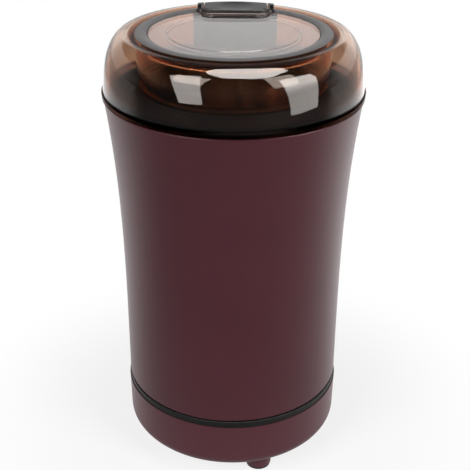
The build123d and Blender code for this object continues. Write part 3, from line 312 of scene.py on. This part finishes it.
def roughness_of(tree, noise, rough):
    """Roughness between two values, from fine noise."""
    spread = tree.nodes.new("ShaderNodeMapRange")
    spread.inputs["To Min"].default_value = rough[0]
    spread.inputs["To Max"].default_value = rough[1]
    tree.links.new(noise, spread.inputs["Value"])
    return spread.outputs[0]


def grain_of(tree, noise, grain, grain_size):
    """Bumps of a strength, from fine noise, whose height is a share of their width."""
    height_share = 0.3
    bump = tree.nodes.new("ShaderNodeBump")
    bump.inputs["Strength"].default_value = grain
    bump.inputs["Distance"].default_value = grain_size * height_share
    tree.links.new(noise, bump.inputs["Height"])
    return bump.outputs[0]


def finish_of(name, dark, light, rough, metallic=0.0, grain=0.0, grain_size=0.001, blotch=0.01,
              specular=0.5, stretch=(1, 1, 1), settings=None):
    """Material with mottled colour, uneven roughness and surface grain. Blotch is the size of
    the mottling and grain_size that of the grain. Stretch below one draws both out along X, Y
    or Z. Settings are further sockets of the shader, by name."""
    material = bpy.data.materials.new(name)
    material.use_nodes = True
    tree = material.node_tree
    shader = tree.nodes["Principled BSDF"]
    mapping = tree.nodes.new("ShaderNodeMapping")
    mapping.inputs["Scale"].default_value = stretch
    tree.links.new(object_place(tree), mapping.inputs["Vector"])
    broad = noise_of(tree, mapping.outputs[0], blotch, detail=4.0)
    fine = noise_of(tree, mapping.outputs[0], grain_size, detail=3.0)
    tree.links.new(mottle_of(tree, broad, dark, light), shader.inputs["Base Color"])
    tree.links.new(roughness_of(tree, fine, rough), shader.inputs["Roughness"])
    if grain:
        tree.links.new(grain_of(tree, fine, grain, grain_size), shader.inputs["Normal"])
    shader.inputs["Metallic"].default_value = metallic
    shader.inputs["Specular IOR Level"].default_value = specular
    for key, value in (settings or {}).items():
        shader.inputs[key].default_value = value
    return material


def see_through(name, colour, density, index=1.49, coat=0.0):
    """Clear moulded plastic that takes light away with its thickness, with faint flow marks."""
    material = finish_of(name, (0.985, 0.985, 0.985), (1.0, 1.0, 1.0), (0.008, 0.022),
                         grain=0.015, grain_size=0.012, blotch=0.02,
                         settings={"Transmission Weight": 1.0, "IOR": index, "Coat Weight": coat,
                                   "Coat IOR": 1.5, "Coat Roughness": 0.012})
    tree = material.node_tree
    inside = tree.nodes.new("ShaderNodeVolumeAbsorption")
    inside.inputs["Color"].default_value = (*colour, 1)
    inside.inputs["Density"].default_value = density
    tree.links.new(inside.outputs[0], tree.nodes["Material Output"].inputs["Volume"])
    return material


# ---------------------------------------------------------------- colour changes inside a piece, some of them painted shade and highlights
def opened(material):
    """Tree and shader of a finish, and the socket that its base colour comes from."""
    tree = material.node_tree
    shader = tree.nodes["Principled BSDF"]
    return tree, shader, shader.inputs["Base Color"].links[0].from_socket


def darken_tab(material):
    """Darker dye in the press tab and its frame than in the ring."""
    half_width, frame_front, past_the_back = 0.0155, 0.0235, 0.1
    tree, shader, base = opened(material)
    x, y, _ = axes_of(tree, object_place(tree))
    tab = product_of(tree, mask_of(tree, x, -half_width, half_width),
                     mask_of(tree, y, frame_front, past_the_back))
    base = blend_of(tree, tab, base, (0.020, 0.019, 0.019))
    tree.links.new(base, shader.inputs["Base Color"])


def tint_and_shade_lid(material):
    """A deeper, warmer tint in the inner collar and in the seat at its top, and painted shade:
    darker tints on the dome's lower part towards the lid's edge, at the collar's foot and on the
    bead.
    """
    collar_outside, seat_outside, clear_of_collar, past_the_lid = 0.0385, 0.0392, 0.0400, 0.1
    collar_top, collar_foot_top = 0.1750, 0.1603
    tree, shader, base = opened(material)
    place = object_place(tree)
    radius, height = radius_of(tree, place), axes_of(tree, place)[2]
    in_collar = mask_of(tree, radius, 0.0, collar_outside)
    collar = product_of(tree, in_collar, mask_of(tree, height, 0.0, collar_top))
    # Painted shade: the dome's lower part, outside the collar, is tinted darker for the shade it
    # shows.
    painted_shade_lower = product_of(tree, mask_of(tree, radius, clear_of_collar, past_the_lid),
                       ramp_of(tree, height, low=0.1660, high=0.1715, start=1.0, end=0.0))
    # Painted shadow: the foot of the collar is tinted dark for the shadow under the collar.
    painted_shadow_foot = product_of(tree, in_collar, mask_of(tree, height, 0.0, collar_foot_top))
    # Painted shade: the bead at the lid's lower edge is tinted dark.
    painted_shade_bead = ramp_of(tree, height, low=0.1575, high=0.1586, start=1.0, end=0.0)
    seat = product_of(tree, mask_of(tree, radius, 0.0, seat_outside),
                      ramp_of(tree, height, low=0.1745, high=0.1760, start=0.0, end=1.0))
    for mask, colour in ((collar, (0.86, 0.50, 0.30)), (painted_shade_lower, (0.47, 0.35, 0.27)),
                         (painted_shadow_foot, (0.16, 0.10, 0.07)), (painted_shade_bead, (0.14, 0.07, 0.055)),
                         (seat, (0.40, 0.22, 0.14))):
        base = blend_of(tree, mask, base, colour)
    tree.links.new(base, shader.inputs["Base Color"])
    tree.links.new(lid_gloss(tree, radius, height), shader.inputs["Coat Weight"])


def lid_gloss(tree, radius, height):
    """Weight of the lid's clear coat: none on the bead, little where the crest meets the ring."""
    below_crest = ramp_of(tree, height, low=0.1762, high=0.1767, start=1.0, end=0.0)
    off_ring = ramp_of(tree, radius, low=0.0385, high=0.0415, start=0.1, end=1.0)
    above_bead = ramp_of(tree, height, low=0.1572, high=0.1580, start=0.0, end=1.0)
    return product_of(tree, math_of(tree, "MAXIMUM", below_crest, off_ring), above_bead)


def paint_step_highlight(material):
    """The small step round the window's raised middle is painted pale and half clear, a painted
    highlight for the light arcs there.
    """
    step_inside, step_outside = 0.02485, 0.02530
    tree, shader, base = opened(material)
    # Painted highlight: a pale, less clear band on the step stands in for the light reflected
    # there.
    painted_highlight_step = mask_of(tree, radius_of(tree, object_place(tree)), step_inside, step_outside)
    base = blend_of(tree, painted_highlight_step, base, (0.70, 0.63, 0.60))
    tree.links.new(base, shader.inputs["Base Color"])
    clear = ramp_of(tree, painted_highlight_step, low=0.0, high=1.0, start=1.0, end=0.5)
    tree.links.new(clear, shader.inputs["Transmission Weight"])


def paint_light_on_base(material):
    """The base cap's moulding, up to its edge, is painted a little lighter than the casing:
    painted light on the same maroon plastic.
    """
    tree, shader, base = opened(material)
    height = axes_of(tree, object_place(tree))[2]
    # Painted light: the cap is the casing's own plastic, painted lighter so that it looks as
    # bright as the body.
    painted_light_cap = ramp_of(tree, height, low=0.0288, high=0.0292, start=1.0, end=0.0)
    base = blend_of(tree, painted_light_cap, base, (0.087, 0.0235, 0.0320))
    tree.links.new(base, shader.inputs["Base Color"])


# ---------------------------------------------------------------- materials
finishes = {
    "maroon_plastic": dict(
        dark=(0.070, 0.0185, 0.0250), light=(0.078, 0.0205, 0.0280), rough=(0.34, 0.42),
        grain=0.06, grain_size=0.0007, blotch=0.03, specular=0.3),
    "carrier_plastic": dict(
        dark=(0.016, 0.006, 0.006), light=(0.022, 0.008, 0.008), rough=(0.45, 0.55),
        grain=0.06, grain_size=0.0007, blotch=0.03, specular=0.12),
    "charcoal_plastic": dict(
        dark=(0.006, 0.006, 0.006), light=(0.009, 0.009, 0.009), rough=(0.44, 0.54),
        grain=0.08, grain_size=0.0005, specular=0.22),
    "black_plastic": dict(
        dark=(0.012, 0.012, 0.013), light=(0.020, 0.020, 0.021), rough=(0.4, 0.5),
        grain=0.08, grain_size=0.0005, specular=0.22),
    "black_rubber": dict(
        dark=(0.010, 0.010, 0.010), light=(0.018, 0.018, 0.018), rough=(0.62, 0.8),
        grain=0.25, grain_size=0.0004),
    "dark_grey_plastic": dict(
        dark=(0.130, 0.124, 0.124), light=(0.150, 0.144, 0.144), rough=(0.34, 0.44),
        grain=0.10, grain_size=0.0004),
    "guide_plastic": dict(
        dark=(0.070, 0.052, 0.049), light=(0.085, 0.063, 0.060), rough=(0.2, 0.3),
        grain=0.05, grain_size=0.0006),
    "white_plastic": dict(
        dark=(0.62, 0.62, 0.58), light=(0.70, 0.70, 0.66), rough=(0.3, 0.4),
        grain=0.05, grain_size=0.0005),
    "bowl_steel": dict(
        dark=(0.56, 0.56, 0.56), light=(0.66, 0.66, 0.66), rough=(0.16, 0.30), metallic=1.0,
        grain=0.020, grain_size=0.0006, blotch=0.004, stretch=(0.12, 0.12, 1.0)),
    "blade_steel": dict(
        dark=(0.60, 0.60, 0.61), light=(0.68, 0.68, 0.69), rough=(0.26, 0.30), metallic=1.0,
        grain=0.005, grain_size=0.0008, blotch=0.003, stretch=(0.15, 1.0, 1.0)),
    "shaft_steel": dict(
        dark=(0.48, 0.48, 0.49), light=(0.58, 0.58, 0.59), rough=(0.2, 0.34), metallic=1.0,
        grain=0.020, grain_size=0.0004, blotch=0.003),
    "zinc_steel": dict(
        dark=(0.42, 0.42, 0.40), light=(0.56, 0.56, 0.53), rough=(0.3, 0.46), metallic=1.0,
        grain=0.020, grain_size=0.0006, blotch=0.002),
    "laminated_steel": dict(
        dark=(0.20, 0.20, 0.21), light=(0.34, 0.34, 0.35), rough=(0.4, 0.55), metallic=1.0,
        grain=0.080, grain_size=0.0005, blotch=0.0006, stretch=(0.05, 0.05, 1.0)),
    "copper_wire": dict(
        dark=(0.42, 0.15, 0.06), light=(0.60, 0.25, 0.11), rough=(0.25, 0.4), metallic=1.0,
        grain=0.100, grain_size=0.0004, blotch=0.0008, stretch=(1.0, 1.0, 0.15)),
    "copper": dict(
        dark=(0.60, 0.28, 0.15), light=(0.74, 0.38, 0.22), rough=(0.2, 0.36), metallic=1.0,
        grain=0.016, grain_size=0.0004, blotch=0.003),
    "brass": dict(
        dark=(0.62, 0.46, 0.20), light=(0.74, 0.57, 0.27), rough=(0.24, 0.4), metallic=1.0,
        grain=0.016, grain_size=0.0005, blotch=0.003),
    "bronze": dict(
        dark=(0.36, 0.24, 0.12), light=(0.50, 0.34, 0.18), rough=(0.4, 0.55), metallic=1.0,
        grain=0.060, grain_size=0.0003, blotch=0.001),
    "carbon": dict(
        dark=(0.012, 0.012, 0.012), light=(0.03, 0.03, 0.03), rough=(0.5, 0.7),
        grain=0.3, grain_size=0.0003),
}


def make_materials():
    """One material for each slot of the record."""
    made = {name: finish_of(name, **look) for name, look in finishes.items()}
    paint_light_on_base(made["maroon_plastic"])
    darken_tab(made["dark_grey_plastic"])
    made["smoked_plastic"] = see_through("smoked_plastic", (0.86, 0.70, 0.57), density=400.0,
                                         index=1.06, coat=1.0)
    tint_and_shade_lid(made["smoked_plastic"])
    made["clear_plastic"] = see_through("clear_plastic", (0.87, 0.64, 0.48), density=20.0)
    paint_step_highlight(made["clear_plastic"])
    return made


# ---------------------------------------------------------------- pieces that stand for a node
def stand_in(name, node, body, mesh):
    """Piece that stands for one node and has its slot's material."""
    piece = bpy.data.objects.new(name, mesh)
    scene.collection.objects.link(piece)
    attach(piece, body)
    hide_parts(node)
    mesh.materials.clear()
    mesh.materials.append(materials[slots[node]])
    return piece


def make_coil():
    """The plunger's spring, a piece on a mesh of its own; the plunger's travel is 2.5 mm."""
    coil = stand_in("plunger_coil", "plunger_spring", "base_unit",
                    frame["nodes"]["plunger_spring"].data.copy())
    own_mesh(coil)


def draw_down(point):
    """Height of a point of the lid once its crest is drawn down to a cone that meets the ring:
    fully at the crest's inner radius, not at all at its outer one."""
    lowest, inner, outer = 0.1779, 0.0370, 0.0440
    cone_top, cone_fall = 0.17815, 0.0875
    radius = math.hypot(point.x, point.y)
    if point.z <= lowest or radius >= outer:
        return point.z
    share = min(max((radius - inner) / (outer - inner), 0.0), 1.0)
    kept = share * share * share
    flush = cone_top - (radius - inner) * cone_fall
    return min(point.z, flush + (point.z - flush) * kept)


def make_dome():
    """The lid's moulding with its crest smoothed down to meet the ring's edge."""
    mesh = frame["nodes"]["lid_shell"].data.copy()
    for vertex in mesh.vertices:
        vertex.co.z = draw_down(vertex.co)
    if "custom_normal" in mesh.attributes:
        mesh.attributes.remove(mesh.attributes["custom_normal"])
    mesh.shade_smooth()
    mesh.set_sharp_from_angle(angle=math.radians(35))
    mesh.update()
    stand_in("lid_dome", "lid_shell", "lid", mesh)


# ---------------------------------------------------------------- put together
make_camera()
make_world()
make_floor()
area("key_left", (-0.8, -0.9, 0.9), (0.7, 0.7), 13.0)
area("key_right", (0.9, -0.8, 0.8), (0.6, 0.9), 13.0)
card("card_left",
     [(-0.76, -0.39, 0.76), (-0.39, -0.56, 0.94), (-0.43, -0.96, 0.17), (-0.73, -0.75, 0.15)],
     strength=7.0, fade=(0.1, 0.8, 0.9))
card("card_right",
     [(0.54, -0.57, 0.68), (0.78, -0.20, 0.64), (0.86, -0.18, 0.48), (0.70, -0.21, 0.05),
      (0.55, -0.49, 0.04), (0.58, -0.58, 0.36)],
     strength=11.0, fade=(0.25, 0.45, 0.5))
card("card_top",
     [(-0.34, -0.38, 1.2), (-0.12, -0.03, 1.2), (0.14, 0.08, 1.2), (0.39, 0.03, 1.2),
      (0.75, -0.27, 1.2), (0.71, -0.82, 1.2), (0.35, -0.93, 1.2), (-0.17, -0.87, 1.2),
      (-0.34, -0.58, 1.2)],
     strength=13.0, fade=(1.0, 1.1, 1.0))

materials = make_materials()
slots = {row["node"]: row["material_slot"] for row in frame["record"]["subparts"]}
make_dome()
make_coil()
for name, node in frame["nodes"].items():
    node.data.materials.clear()
    node.data.materials.append(materials[slots[name]])
